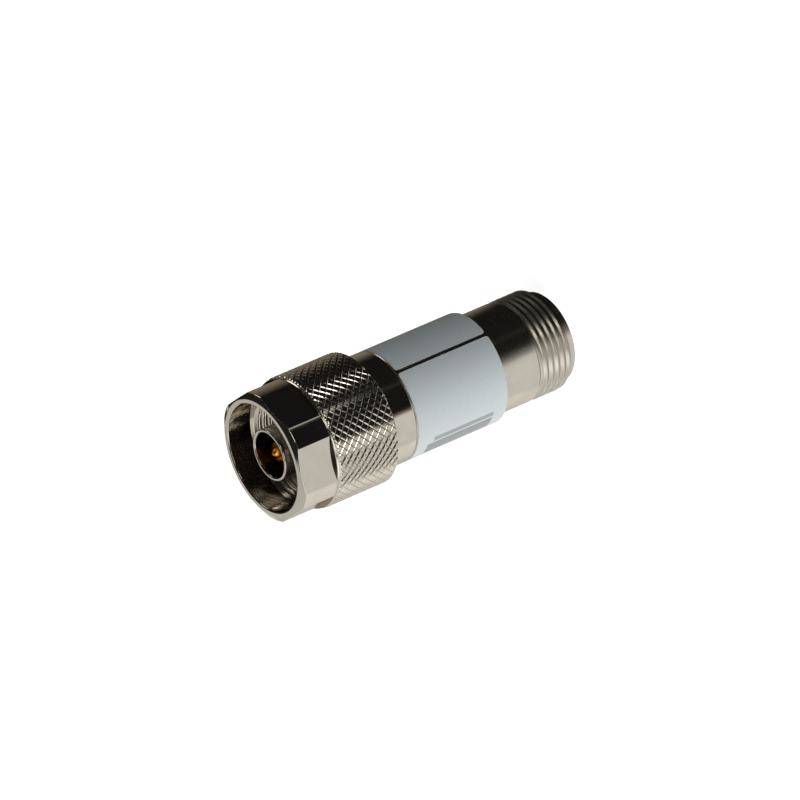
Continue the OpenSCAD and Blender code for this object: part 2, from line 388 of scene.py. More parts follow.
def plated(name, bright, dull, rough_low, rough_high, marks=0.10, grain=0.05, edge=(0.74, 0.71, 0.66, 1.0), satin=None,
           calm=None):
    """Plated turned metal: fine rings from the turning tool, faint clouding, hair scratches."""
    n = Nodes(name)
    co, x, y, z, r = n.place()
    cloud = n.noise(co, 420.0, 4.0, 0.55)
    fine = n.noise(co, 5200.0, 2.0, 0.5)
    # rings that depend on height and distance from the axis only
    rings = n.noise(n.combine(n.math("MULTIPLY", r, 26.0), n.math("MULTIPLY", z, 26.0), 0.0), 900.0, 4.0, 0.6)
    # short scratches, stretched along the axis
    scratch = n.noise(n.combine(n.math("MULTIPLY", x, 7.0), n.math("MULTIPLY", y, 7.0), z), 700.0, 2.0, 0.4)
    hair = n.ramp(scratch, 0.63, 0.72, 0.0, 1.0)
    tint = n.mix(n.ramp(cloud, 0.35, 0.68, 0.0, 1.0, True), bright, dull)
    wear = n.math("MULTIPLY_ADD", n.ramp(cloud, 0.3, 0.72, 0.0, 1.0), rough_high - rough_low, rough_low)
    wear = n.math("MULTIPLY_ADD", rings, 0.035, wear)
    if satin is not None:
        # duller towards the threaded end
        wear = n.math("ADD", wear, n.ramp(z, satin + 0.0008, satin - 0.0004, 0.0, 0.08, True))
    wear = n.math("MULTIPLY_ADD", hair, 0.05, wear, clamp=True)
    fine = n.math("MULTIPLY_ADD", hair, -0.5, fine)
    if calm is not None:
        # inner walls are smoother than the outside
        outside = n.ramp(r, calm, calm + 0.0003)
        rings, fine = n.math("MULTIPLY", rings, outside), n.math("MULTIPLY", fine, outside)
    bump = n.bump(rings, marks, 0.00002)
    bump = n.bump(fine, grain, 0.00002, bump)
    return n.surface(Base_Color=tint, Metallic=1.0, Roughness=wear, Normal=bump, Specular_Tint=edge)


def label_film(name):
    """Semi-gloss pale film with a faint mottle and two plain printed fields."""
    n = Nodes(name)
    co, x, y, z, r = n.place()
    mottle = n.noise(co, 1500.0, 4.0, 0.6)
    cloud = n.noise(co, 160.0, 3.0, 0.5)
    weave = n.noise(co, 9000.0, 2.0, 0.5)
    pale = n.mix(n.ramp(mottle, 0.3, 0.7), (0.600, 0.655, 0.670, 1.0), (0.635, 0.688, 0.702, 1.0))
    pale = n.mix(n.ramp(cloud, 0.3, 0.7, 0.0, 0.5, True), pale, (0.618, 0.668, 0.682, 1.0))
    # a slightly darker rim along both edges of the film
    edge = n.math("MAXIMUM", n.ramp(z, 0.01420, 0.01405), n.ramp(z, 0.03018, 0.03032))
    pale = n.mix(n.math("MULTIPLY", edge, 0.35), pale, (0.42, 0.47, 0.49, 1.0))
    # two plain fields of grey: a slim rule and a broader band
    turn = n.math("ARCTAN2", y, x)

    def field(a0, a1, z0, z1):
        inside = n.math("MULTIPLY", n.ramp(turn, math.radians(a0) - 0.004, math.radians(a0) + 0.004),
                        n.ramp(turn, math.radians(a1) + 0.004, math.radians(a1) - 0.004))
        inside = n.math("MULTIPLY", inside, n.ramp(z, z0 - 0.00004, z0 + 0.00004))
        return n.math("MULTIPLY", inside, n.ramp(z, z1 + 0.00004, z1 - 0.00004))

    ink = n.math("MAXIMUM", n.math("MULTIPLY", field(-150.2, -144.4, 0.0164, 0.0272), 0.55),
                 n.math("MULTIPLY", field(-171.0, -152.5, 0.0164, 0.0282), 0.62))
    ink = n.math("MULTIPLY", ink, n.ramp(mottle, 0.2, 0.8, 0.9, 1.0))
    colour = n.mix(ink, pale, (0.085, 0.09, 0.095, 1.0))
    gloss = n.ramp(mottle, 0.25, 0.75, 0.40, 0.50)
    gloss = n.math("MULTIPLY_ADD", ink, 0.06, gloss)
    bump = n.bump(weave, 0.06, 0.00002)
    bump = n.bump(cloud, 0.10, 0.00006, bump)
    return n.surface(Base_Color=colour, Roughness=gloss, Normal=bump, IOR=1.46,
                     Specular_IOR_Level=0.35)


def cut_film(name):
    """The white core that shows on the cut edge of the film."""
    n = Nodes(name)
    co, x, y, z, r = n.place()
    fibre = n.noise(co, 7000.0, 3.0, 0.6)
    colour = n.mix(n.ramp(fibre, 0.3, 0.7), (0.78, 0.80, 0.80, 1.0), (0.90, 0.91, 0.91, 1.0))
    return n.surface(Base_Color=colour, Roughness=n.ramp(fibre, 0.2, 0.8, 0.55, 0.75),
                     Normal=n.bump(fibre, 0.2, 0.00002))


def rubber(name):
    n = Nodes(name)
    co, x, y, z, r = n.place()
    grain = n.noise(co, 6500.0, 4.0, 0.6)
    cloud = n.noise(co, 600.0, 3.0, 0.5)
    colour = n.mix(n.ramp(cloud, 0.3, 0.7), (0.120, 0.020, 0.012, 1.0), (0.165, 0.032, 0.018, 1.0))
    return n.surface(Base_Color=colour, Roughness=n.ramp(grain, 0.25, 0.75, 0.48, 0.66),
                     Normal=n.bump(grain, 0.25, 0.00003))


def fluoropolymer(name):
    n = Nodes(name)
    co, x, y, z, r = n.place()
    cloud = n.noise(co, 700.0, 3.0, 0.5)
    rings = n.noise(n.combine(n.math("MULTIPLY", r, 18.0), n.math("MULTIPLY", z, 18.0), 0.0), 900.0, 3.0, 0.5)
    colour = n.mix(n.ramp(cloud, 0.3, 0.7), (0.86, 0.86, 0.83, 1.0), (0.93, 0.93, 0.91, 1.0))
    return n.surface(Base_Color=colour, Roughness=n.ramp(rings, 0.25, 0.75, 0.30, 0.45),
                     Normal=n.bump(rings, 0.12, 0.00002), IOR=1.35)


def ceramic(name):
    """Alumina plate with a dark resistive field between two bright contact pads."""
    n = Nodes(name)
    co, x, y, z, r = n.place()
    grain = n.noise(co, 8000.0, 4.0, 0.6)
    cloud = n.noise(co, 900.0, 3.0, 0.5)
    base = n.mix(n.ramp(cloud, 0.3, 0.7), (0.80, 0.79, 0.73, 1.0), (0.87, 0.86, 0.81, 1.0))
    film = n.math("MULTIPLY", n.ramp(z, 0.01795, 0.01805), n.ramp(z, 0.02325, 0.02315))
    film = n.math("MULTIPLY", film, n.ramp(n.math("ABSOLUTE", x), 0.00265, 0.00255))
    dark = n.mix(n.ramp(grain, 0.3, 0.7), (0.035, 0.04, 0.045, 1.0), (0.06, 0.065, 0.07, 1.0))
    colour = n.mix(film, base, dark)
    return n.surface(Base_Color=colour, Roughness=n.ramp(grain, 0.2, 0.8, 0.45, 0.65),
                     Normal=n.bump(grain, 0.2, 0.00002))


NICKEL_BRIGHT = (0.570, 0.540, 0.480, 1.0)
NICKEL_DULL = (0.540, 0.508, 0.445, 1.0)
nickel_body = plated("nickel_body", NICKEL_BRIGHT, NICKEL_DULL, 0.18, 0.24, 0.06, 0.015, satin=0.0072)
nickel_shell = plated("nickel_shell", NICKEL_BRIGHT, NICKEL_DULL, 0.06, 0.11)
nickel_nut = plated("nickel_nut", NICKEL_BRIGHT, NICKEL_DULL, 0.06, 0.11, 0.015, 0.004, calm=0.0086)
# painted shade: a darker, browner copy of the plated nickel, used on the run-out walls at the foot of the flats
nickel_runout_painted_shade = plated("nickel_runout_painted_shade", (0.30, 0.24, 0.185, 1.0), (0.26, 0.205, 0.155, 1.0), 0.08, 0.13, 0.02, 0.01)
nickel_inner = plated("nickel_inner", (0.60, 0.57, 0.50, 1.0), (0.55, 0.52, 0.45, 1.0), 0.22, 0.34, 0.2)
gold_contact = plated("gold_contact", (0.95, 0.43, 0.075, 1.0), (0.88, 0.36, 0.055, 1.0), 0.27, 0.34, 0.06, 0.02,
                      edge=(0.92, 0.78, 0.52, 1.0))
spring_bronze = plated("spring_bronze", (0.58, 0.37, 0.19, 1.0), (0.44, 0.26, 0.13, 1.0), 0.28, 0.42, 0.2)
film = label_film("label_film")
film_edge = cut_film("label_film_edge")
seal = rubber("seal_rubber")
bead_white = fluoropolymer("white_bead")
chip_mat = ceramic("chip_ceramic")


# ---------------------------------------------------------------------------------------------
# Barrel and jack, one turned piece with its thread
# ---------------------------------------------------------------------------------------------
def body_base(z):
    """Outline of the jack end before the thread is cut."""
    return np.interp(z, [0.0, 1.15, 2.00, 6.42, 6.86, 7.10], [7.00, 7.00, 7.85, 7.85, 7.50, 7.50])


def body_radius(theta, z):
    crest = 7.85 - 0.31 * thread_cut(theta, z, 0.857)
    return np.minimum(body_base(z), crest)


def make_body():
    s = Shell()
    theta = angles(224)
    front = soften([(4.065, 0.4), (4.465, 0.0, 0.08), (6.60, 0.0, 0.20), (7.00, 0.40, 0.30), (7.00, 1.02)],
                   0.05, closed=False)
    first, pilot = lathe_rows(s, front, theta)
    zs = np.concatenate([[1.06], np.arange(1.10, 7.00, 0.04)])
    low, high = relief_grid(s, body_radius, theta, zs, 0.03)
    s.band(pilot[0], low[0], pilot[1], lean(1.0, 0.0, theta))
    rest = soften([(7.50, 7.02), (7.50, 7.12, 0.20), (7.80, 7.45, 0.40), (7.80, 13.90, 0.05),
                   (8.55, 13.90, 0.36), (8.55, 30.42, 0.06), (8.47, 30.50, 0.05), (7.00, 30.50, 0.05),
                   (7.00, 26.40, 0.05), (5.10, 26.40), (5.10, 14.60), (4.40, 14.60), (4.40, 10.60),
                   (3.50, 10.60), (3.50, 9.10), (4.065, 9.10, 0.04), (4.065, 0.45)], 0.05, closed=False)
    join, last = lathe_rows(s, rest, theta)
    s.band(high[0], join[0], lean(1.0, 0.0, theta), join[1])
    s.band(last[0], first[0], last[1], lean(-1.0, 0.0, theta))
    body = s.make("barrel_and_jack", [nickel_body])
    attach(body, "body")
    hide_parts("main_body")


# ---------------------------------------------------------------------------------------------
# Film label: an open curved sheet with rounded corners at its gap
# ---------------------------------------------------------------------------------------------
def make_label():
    z0, z1, corner, gap = 14.05, 30.32, 0.40, 0.31
    outer, inner = 8.65, 8.555
    turn = math.radians(296.0)
    length = TAU * outer - 2 * gap
    ends = np.array([0.0, 0.006, 0.02, 0.05, 0.09, 0.14, 0.20, 0.27, 0.34, 0.40])
    middle = np.linspace(0.40, length - 0.40, 170)[1:-1]
    along = np.concatenate([ends, middle, (length - ends)[::-1]])
    d = np.minimum(along, length - along)
    drop = np.where(d < corner, corner - np.sqrt(np.maximum(0.0, corner ** 2 - (corner - d) ** 2)), 0.0)
    theta = turn + (gap + along) / outer
    share = np.array([0.0, 0.004, 0.05, 0.2, 0.35, 0.5, 0.65, 0.8, 0.95, 0.996, 1.0])
    s = Shell()
    low, high = z0 + drop, z1 - drop
    soft = 0.018
    grid_out, grid_in = [], []
    for f in share:
        z = low + (high - low) * f
        r = np.full_like(theta, outer)
        if f in (0.0, 1.0):
            r = r - soft
        r[0] -= soft
        r[-1] -= soft
        grid_out.append(s.ring(np.stack([r * np.cos(theta), r * np.sin(theta), z], 1)))
        r = np.full_like(theta, inner)
        grid_in.append(s.ring(np.stack([r * np.cos(theta), r * np.sin(theta), z], 1)))
    out_n, in_n = lean(1.0, 0.0, theta), lean(-1.0, 0.0, theta)
    for a, b in zip(grid_out, grid_out[1:]):
        s.band(a, b, out_n, out_n, 0, closed=False)
    for a, b in zip(grid_in, grid_in[1:]):
        s.band(a, b, in_n, in_n, 1, closed=False)
    # walls along the two long edges, then at the two ends
    down, up = lean(0.0, -1.0, theta), lean(0.0, 1.0, theta)
    s.band(grid_out[0], grid_in[0], down, down, 1, closed=False)
    s.band(grid_out[-1], grid_in[-1], up, up, 1, closed=False)
    for k, sign in ((0, -1.0), (-1, 1.0)):
        a = np.array([g[k] for g in grid_out])
        b = np.array([g[k] for g in grid_in])
        side = sign * np.array([-math.sin(theta[k]), math.cos(theta[k]), 0.0])
        n = np.tile(side, (len(a), 1))
        s.band(a, b, n, n, 1, closed=False)
    label = s.make("film_label", [film, film_edge])
    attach(label, "body")
    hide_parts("label")


# ---------------------------------------------------------------------------------------------
# Plug shell: spigot, shank, journal and contact tube
# ---------------------------------------------------------------------------------------------
def make_shell():
    s = Shell()
    theta = angles(192)
    rows = soften([(4.40, 26.60), (6.80, 26.60), (7.00, 26.80), (7.00, 30.50, 0.04), (8.65, 30.50, 0.30),
                   (8.65, 34.20, 0.10), (8.45, 34.40, 0.10), (7.03, 34.40), (7.03, 38.10), (6.20, 38.10),
                   (6.20, 39.50), (7.03, 39.50), (7.03, 41.25), (6.78, 41.50), (4.00, 41.50, 0.08),
                   (4.00, 50.85, 0.17), (3.64, 50.85, 0.05), (3.50, 50.71, 0.08), (3.50, 40.20),
                   (4.40, 40.20)], 0.04)
    lathe_rows(s, rows, theta, closed=True)
    shell = s.make("plug_shell_turned", [nickel_shell])
    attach(shell, "body")
    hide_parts("plug_shell")


# ---------------------------------------------------------------------------------------------
# Coupling nut: diamond knurl, six milled flats, counterbore and inner thread
# ---------------------------------------------------------------------------------------------
KNURL_COUNT = 45          # diamonds round the nut
KNURL_RISE = 1.274        # height of one diamond
KNURL_DEPTH = 0.135
NUT_R = 10.20
LAND_R = 10.00
GROOVE_R = 9.91
COLLAR_R = 10.06
FLAT = 9.375
MOUTH_Z = 52.10
RIM_R = 9.10


def knurl_radius(theta, z):
    u = theta * KNURL_COUNT / TAU + (z - 40.0) / KNURL_RISE
    v = theta * KNURL_COUNT / TAU - (z - 40.0) / KNURL_RISE
    tu = 1.0 - 2.0 * np.abs(u - np.round(u))
    tv = 1.0 - 2.0 * np.abs(v - np.round(v))
    # groove depth is 1 along both sets of lines and 0 on top of a diamond
    cut = np.maximum(tu, tv)
    cut = (np.maximum(cut - 0.60, 0.0) / 0.40) ** 1.2
    r = NUT_R - KNURL_DEPTH * cut
    rear = np.interp(z, [34.6, 35.2], [9.2, 10.2])
    fade = np.clip((45.52 - z) / 0.16, 0.0, 1.0)
    r = r * fade + COLLAR_R * (1.0 - fade)
    return np.minimum(r, rear)


def nut_thread_radius(theta, z):
    base = np.interp(z, [42.5, 42.9, 47.35, 47.75], [7.95, 7.45, 7.45, 7.95])
    return np.maximum(base, 7.45 + 0.50 * thread_cut(theta, z, 0.40))


def make_nut():
    s = Shell()
    # knurled part
    tk = angles(KNURL_COUNT * 10)
    step = KNURL_RISE / 10.0
    grid = 40.0 + step * np.arange(-48, 46)
    fine = np.concatenate([[34.64, 34.76, 34.88], np.arange(34.95, 35.26, step / 3.0)])
    zs = np.concatenate([fine, grid[(grid > fine[-1] + 0.03) & (grid < 45.40)],
                         [45.44, 45.48, 45.52, 45.55]])
    low, high = relief_grid(s, knurl_radius, tk, zs, 0.015, facets=True)
    # rounded collar in front of the knurl, down to the groove behind the flats
    last = high[0], lean(1.0, 0.0, tk)
    for r, z, tilt in ((10.055, 45.60, 8.0), (10.040, 45.65, 20.0), (10.010, 45.71, 34.0), (9.970, 45.76, 43.0),
                       (9.940, 45.80, 36.0), (9.920, 45.84, 20.0), (9.912, 45.88, 6.0)):
        n = lean(math.cos(math.radians(tilt)), math.sin(math.radians(tilt)), tk)
        ring = s.ring(circle(r, z, tk))
        s.band(last[0], ring, last[1], n)
        last = ring, n
    high = last
    # flats and lands
    half = math.acos(FLAT / LAND_R)
    th, rh, nh = [], [], []
    eps = 0.004
    for k in range(6):
        mid = math.radians(4.5 + 60.0 * k)
        for a in np.concatenate([[-half + eps], np.linspace(-half, half, 17)[1:-1], [half - eps]]):
            th.append(mid + a)
            rh.append(FLAT / math.cos(a))
            nh.append((math.cos(mid), math.sin(mid), 0.0))
        edge = math.radians(60.0) - half
        for a in np.linspace(half + eps, edge - eps, 9):
            th.append(mid + a)
            rh.append(LAND_R)
            nh.append((math.cos(mid + a), math.sin(mid + a), 0.0))
    th, rh, nh = np.array(th), np.array(rh), np.array(nh)
    order = np.argsort(th % TAU)
    th, rh, nh = (th % TAU)[order], rh[order], nh[order]
    on_flat = rh < LAND_R - 0.012
    out = lean(1.0, 0.0, th)
    up = lean(0.0, 1.0, th)
    h0 = s.ring(circle(GROOVE_R, 45.94, th))
    s.zip(high[0], tk, h0, th, lean(1.0, 0.0, tk), out)
    h1 = s.ring(circle(LAND_R - 0.05, 45.96, th))
    h2 = s.ring(circle(LAND_R - 0.015, 45.985, th))
    h3 = s.ring(circle(LAND_R, 46.02, th))
    under = lean(0.5, -0.85, th)
    s.band(h0, h1, under, under)
    s.band(h1, h2, under, under + out)
    s.band(h2, h3, under + out, out)
    # run-out wall at the foot of each flat
    wall = np.where(on_flat[:, None], lean(0.52, 0.854, th), out)
    z_run = 46.05 + 0.60 * (LAND_R - rh)
    h4 = s.ring(np.stack([rh * np.cos(th), rh * np.sin(th), z_run], 1))
    # slot 1 gives these run-out walls the darker copy of the nickel: painted shade
    s.band(h3, h4, wall, wall, 1)
    # front chamfer
    slope = np.array([-(LAND_R - RIM_R), 0.48])
    slope = slope / np.linalg.norm(slope)
    cone = lean(slope[1], -slope[0], th)
    z_c = MOUTH_Z - 0.48 * (rh - RIM_R) / (LAND_R - RIM_R)
    soft = 0.10

    def at(r, z):
        return np.stack([r * np.cos(th), r * np.sin(th), np.broadcast_to(z, th.shape)], 1)

    p_low, p_c, p_high = at(rh, z_c - soft), at(rh, z_c), at(rh + soft * slope[0], z_c + soft * slope[1])
    mid1, mid2 = 0.5625 * p_low + 0.375 * p_c + 0.0625 * p_high, 0.0625 * p_low + 0.375 * p_c + 0.5625 * p_high
    h5, h6, h7, h8 = s.ring(p_low), s.ring(mid1), s.ring(mid2), s.ring(p_high)
    s.band(h4, h5, nh, nh)
    s.band(h5, h6, nh, 0.75 * nh + 0.25 * cone)
    s.band(h6, h7, 0.75 * nh + 0.25 * cone, 0.25 * nh + 0.75 * cone)
    s.band(h7, h8, 0.25 * nh + 0.75 * cone, cone)
    q = 0.05
    r_low = at(RIM_R - q * slope[0] + 0 * th, MOUTH_Z - q * slope[1])
    r_c, r_high = at(RIM_R + 0 * th, MOUTH_Z), at(RIM_R - q + 0 * th, MOUTH_Z)
    h9, h10, h11 = s.ring(r_low), s.ring(0.25 * r_low + 0.5 * r_c + 0.25 * r_high), s.ring(r_high)
    s.band(h8, h9, cone, cone)
    s.band(h9, h10, cone, cone + up)
    s.band(h10, h11, cone + up, up)
    # mouth, step, thread, relief and journal bore
    ti = angles(192)
    mouth = soften([(8.80, 52.10), (8.52, 52.10, 0.06), (8.37, 51.95, 0.10), (8.37, 47.75, 0.06), (7.98, 47.75)],
                   0.05, closed=False)
    m_first, m_last = lathe_rows(s, mouth, ti)
    s.zip(h11, th, m_first[0], ti, up, lean(0.0, 1.0, ti))
    zs_in = np.concatenate([np.arange(47.74, 42.46, -0.05), [42.45]])
    t_first, t_last = relief_grid(s, nut_thread_radius, ti, zs_in, 0.03, inward=True)
    s.band(m_last[0], t_first[0], m_last[1], m_last[1])
    rear = soften([(7.95, 42.40), (7.95, 41.20), (7.10, 40.40), (7.10, 39.30), (7.90, 39.30), (7.90, 38.30),
                   (7.10, 38.30), (7.10, 34.90, 0.1), (7.40, 34.60, 0.1), (8.30, 34.60)], 0.05, closed=False)
    r_first, r_last = lathe_rows(s, rear, ti)
    inward = lean(-1.0, 0.0, ti)
    s.band(t_last[0], r_first[0], inward, inward)
    # rear face
    edge = s.ring(circle(9.16, 34.615, tk))
    flat = s.ring(circle(9.10, 34.60, tk))
    s.band(low[0], edge, low[1], lean(0.5, -0.85, tk))
    s.band(edge, flat, lean(0.5, -0.85, tk), lean(0.0, -1.0, tk))
    s.zip(flat, tk, r_last[0], ti, lean(0.0, -1.0, tk), lean(0.0, -1.0, ti))
    nut = s.make("knurled_nut", [nickel_nut, nickel_runout_painted_shade])
    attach(nut, "nut")
    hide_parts("coupling_nut")


# ---------------------------------------------------------------------------------------------
# Small turned pieces: contacts, beads, seal
# ---------------------------------------------------------------------------------------------
def spindle(name, outline, count, materials, fillet=0.04):
    """A turned solid whose outline starts and ends on the axis."""
    s = Shell()
    theta = angles(count)
    rows = soften(outline, fillet, closed=False)
    first, last = lathe_rows(s, rows[1:-1], theta)
    tip = s.ring([[0.0, 0.0, rows[0][1]]])
    s.fan(first[0], tip, first[1], np.array([0.0, 0.0, -1.0]))
    tip = s.ring([[0.0, 0.0, rows[-1][1]]])
    s.fan(last[0], tip, last[1], np.array([0.0, 0.0, 1.0]))
    return s.make(name, materials)


def cut_boxes(obj, boxes):
    """Takes plain boxes, given as (low, high, turn) in millimetres, out of a piece."""
    tool_mesh = bpy.data.meshes.new("cutter")
    bm = bmesh.new()
    for low, high, turn in boxes:
        low, high = np.array(low, float), np.array(high, float)
        size = Matrix.Diagonal(Vector((high - low) * MM)).to_4x4()
        shift = Matrix.Translation(Vector((high + low) / 2 * MM))
        bmesh.ops.create_cube(bm, size=1.0, matrix=Matrix.Rotation(turn, 4, "Z") @ shift @ size)
    bm.to_mesh(tool_mesh)
    bm.free()
    tool = bpy.data.objects.new("cutter", tool_mesh)
    bpy.context.scene.collection.objects.link(tool)
    mod = obj.modifiers.new("cut", "BOOLEAN")
    mod.operation, mod.solver, mod.object = "DIFFERENCE", "EXACT", tool
    mod.use_self = True
    bpy.context.view_layer.update()
    done = bpy.data.meshes.new_from_object(obj.evaluated_get(bpy.context.evaluated_depsgraph_get()))
    obj.modifiers.clear()
    old = obj.data
    obj.data = done
    done.name = obj.name
    bpy.data.meshes.remove(old)
    bpy.data.objects.remove(tool)
    bpy.data.meshes.remove(tool_mesh)


def make_small():
    pin = spindle("centre_pin", [(0.0, 23.35), (1.0, 23.35, 0.12), (1.0, 26.20, 0.05), (1.52, 26.20), (1.52, 37.40),
                                 (1.10, 37.40), (1.10, 40.20), (1.52, 40.20, 0.05), (1.52, 45.59, 0.22),
                                 (0.825, 45.59, 0.10)]
                  + [(0.825 * math.cos(a), 48.75 + 1.45 * math.sin(a), 2.0)
                     for a in np.radians(np.arange(0.0, 85.0, 7.0))] + [(0.0, 50.20)], 72, [gold_contact])
    cut_boxes(pin, [((-3.0, -0.33, 22.35), (3.0, 0.33, 25.50), 0.0)])
    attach(pin, "body")
    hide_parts("plug_pin")

    socket = spindle("slotted_socket", [(0.0, 9.84), (0.83, 9.44), (0.83, 4.06, 0.05), (1.03, 3.84, 0.06),
                                        (1.40, 3.84, 0.06), (1.52, 3.98, 0.10), (1.52, 10.60, 0.05), (1.10, 10.60),
                                        (1.10, 13.40), (1.52, 13.40), (1.52, 14.90), (1.0, 14.90), (1.0, 17.85, 0.12),
                                        (0.0, 17.85)], 96, [gold_contact])
    cut_boxes(socket, [((-3.0, -0.33, 15.70), (3.0, 0.33, 18.85), 0.0),
                       ((-3.0, -0.125, 2.84), (3.0, 0.125, 8.04), math.radians(45.0)),
                       ((-3.0, -0.125, 2.84), (3.0, 0.125, 8.04), math.radians(135.0))])
    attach(socket, "body")
    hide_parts("jack_socket")

    for name, node, z in (("plug_end_bead", "plug_bead", 37.40), ("jack_end_bead", "jack_bead", 10.60)):
        s = Shell()
        lathe_rows(s, soften([(1.10, z), (4.40, z, 0.15), (4.40, z + 2.8, 0.15), (1.10, z + 2.8)], 0.06),
                   angles(120), closed=True)
        bead = s.make(name, [bead_white])
        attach(bead, "body")
        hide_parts(node)

    s = Shell()
    lathe_rows(s, soften([(4.60, 41.50, 0.08), (6.80, 41.50, 0.08), (6.80, 42.80, 0.22), (4.60, 42.80, 0.22)], 0.1),
               angles(144), closed=True)
    ring = s.make("seal_ring", [seal])
    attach(ring, "body")
    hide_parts("gasket")


def dress_hidden():
    """Finishes for the pieces inside, whose shape comes straight from the construction."""
    for node, mat in (("snap_ring", spring_bronze), ("plug_liner", nickel_inner), ("jack_bead_ring", nickel_inner),
                      ("attenuator_chip", chip_mat), ("carrier_half_a", nickel_inner),
                      ("carrier_half_b", nickel_inner)):
        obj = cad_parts[node]
        obj.data.materials.clear()
        obj.data.materials.append(mat)


# ---------------------------------------------------------------------------------------------
# Stage: pale floor, soft lamps, a dark card at one side that only reflections see
# ---------------------------------------------------------------------------------------------
def make_stage():
    n = Nodes("floor_paper")
    co, x, y, z, r = n.place()
    grain = n.noise(co, 900.0, 3.0, 0.6)
    colour = n.mix(n.ramp(grain, 0.3, 0.7), (0.885, 0.885, 0.880, 1.0), (0.905, 0.905, 0.900, 1.0))
    floor_mat = n.surface(Base_Color=colour, Roughness=n.ramp(grain, 0.2, 0.8, 0.85, 0.95),
                          Normal=n.bump(grain, 0.02, 0.00002), Specular_IOR_Level=0.0,
                          Emission_Color=colour, Emission_Strength=0.92)
    mesh = bpy.data.meshes.new("floor")
    bm = bmesh.new()
    bmesh.ops.create_circle(bm, cap_ends=True, segments=96, radius=5.0)
    bm.to_mesh(mesh)
    bm.free()
    floor = bpy.data.objects.new("floor", mesh)
    floor.location.z = -0.00003
    mesh.materials.append(floor_mat)
    bpy.context.scene.collection.objects.link(floor)

    # card on the floor that only reflections and soft light see: dark on the +X side, brown towards
    # the back, pale on the -X side
    n = Nodes("floor_card")
    co, x, y, z, r = n.place()
    turn = n.math("ARCTAN2", y, x)
    back = n.ramp(turn, math.radians(10.0), math.radians(48.0), 0.0, 1.0, True)
    near = n.mix(n.ramp(r, 0.012, 0.020, 0.0, 1.0, True), (0.035, 0.032, 0.028, 1.0), (0.32, 0.29, 0.24, 1.0))
    near = n.mix(n.ramp(r, 0.035, 0.055, 0.0, 1.0, True), near, (0.34, 0.285, 0.23, 1.0))
    rear = n.mix(n.ramp(r, 0.11, 0.22, 0.0, 1.0, True), near, (0.060, 0.045, 0.034, 1.0))
    colour = n.mix(back, (0.012, 0.0115, 0.011, 1.0), rear)
    strip = n.math("MULTIPLY", n.ramp(turn, math.radians(-66.0), math.radians(-64.0), 0.0, 1.0, True),
                   n.ramp(turn, math.radians(-58.5), math.radians(-60.5), 0.0, 1.0, True))
    colour = n.mix(n.math("MULTIPLY", strip, n.ramp(r, 0.078, 0.091, 0.03, 1.0, True)), colour,
                   (0.74, 0.78, 0.68, 1.0))
    # the border between dark and light bends with the distance from the part and is softer close to it
    border = n.math("MULTIPLY_ADD", n.math("EXPONENT", n.math("MULTIPLY", r, -38.5)), math.radians(26.0),
                    math.radians(-121.0))
    past = n.math("MULTIPLY", n.math("SUBTRACT", turn, border), n.ramp(r, 0.030, 0.055, 0.45, 1.0, True))
    light = n.mix(n.ramp(r, 0.060, 0.085, 0.0, 1.0, True), (0.93, 0.92, 0.90, 1.0), (0.895, 0.875, 0.85, 1.0))
    tint = n.mix(n.ramp(r, 0.032, 0.055, 0.0, 1.0, True), (0.30, 0.29, 0.27, 1.0), (0.34, 0.255, 0.225, 1.0))
    edge = n.mix(n.ramp(past, math.radians(0.0), math.radians(4.0), 0.0, 1.0, True), light, tint)
    colour = n.mix(n.ramp(past, math.radians(3.0), math.radians(10.0), 0.0, 1.0, True), edge, colour)
    over = n.math("SUBTRACT", turn, n.ramp(r, 0.11, 0.14, math.radians(92.0), math.radians(81.5), True))
    dim = n.math("MULTIPLY", n.ramp(r, 0.12, 0.15, 1.0, 0.0, True),
                 n.ramp(turn, math.radians(130.0), math.radians(104.0), 0.0, 1.0, True))
    light = n.mix(dim, light, (0.66, 0.64, 0.61, 1.0))
    lift = n.math("MAXIMUM", n.ramp(turn, math.radians(130.0), math.radians(152.0), 0.0, 1.0, True),
                  n.ramp(turn, math.radians(-142.0), math.radians(-168.0), 0.0, 1.0, True))
    light = n.mix(lift, light, (1.13, 1.11, 1.08, 1.0))
    colour = n.mix(n.ramp(over, 0.0, math.radians(1.5), 0.0, 1.0, True), colour, light)
    glow = n.new("ShaderNodeEmission")
    n.link(colour, glow.inputs["Color"])
    clear = n.new("ShaderNodeBsdfTransparent")
    pick = n.new("ShaderNodeMixShader")
    n.link(n.new("ShaderNodeNewGeometry").outputs["Backfacing"], pick.inputs[0])
    n.link(glow.outputs[0], pick.inputs[1])
    n.link(clear.outputs[0], pick.inputs[2])
    n.link(pick.outputs[0], n.out.inputs["Surface"])
    rows = [0.0067, 0.02, 0.05, 0.085, 0.12, 0.18, 0.24, 0.26, 0.9]
    start = [-180.0] * 7 + [-121.0, -121.0]
    reach = [180.0] * 7 + [81.5, 81.5]
    k = 145
    verts = [(q * math.cos(t), q * math.sin(t), 0.00005)
             for q, b, e in zip(rows, start, reach) for t in np.radians(np.linspace(b, e, k))]
    faces = [(i * k + j, (i + 1) * k + j, (i + 1) * k + j + 1, i * k + j + 1)
             for i in range(len(rows) - 1) for j in range(k - 1)]
    mesh = bpy.data.meshes.new("floor_card")
    mesh.from_pydata(verts, [], faces)
    mesh.materials.append(n.mat)
    card = bpy.data.objects.new("floor_card", mesh)
    card.visible_camera = False
    card.visible_shadow = False
    bpy.context.scene.collection.objects.link(card)

    def lamp(name, place, aim, size, watts, colour=(1.0, 1.0, 1.0), glossy=False, shape="DISK", shadow=True):
        light = bpy.data.lights.new(name, "AREA")
        light.shape = shape
        light.size = size
        light.energy = watts
        light.color = colour
        light.use_shadow = shadow
        obj = bpy.data.objects.new(name, light)
        obj.location = place
        obj.rotation_euler = (Vector(aim) - Vector(place)).to_track_quat("-Z", "Y").to_euler()
        obj.visible_camera = False
        obj.visible_glossy = glossy
        bpy.context.scene.collection.objects.link(obj)
        return obj

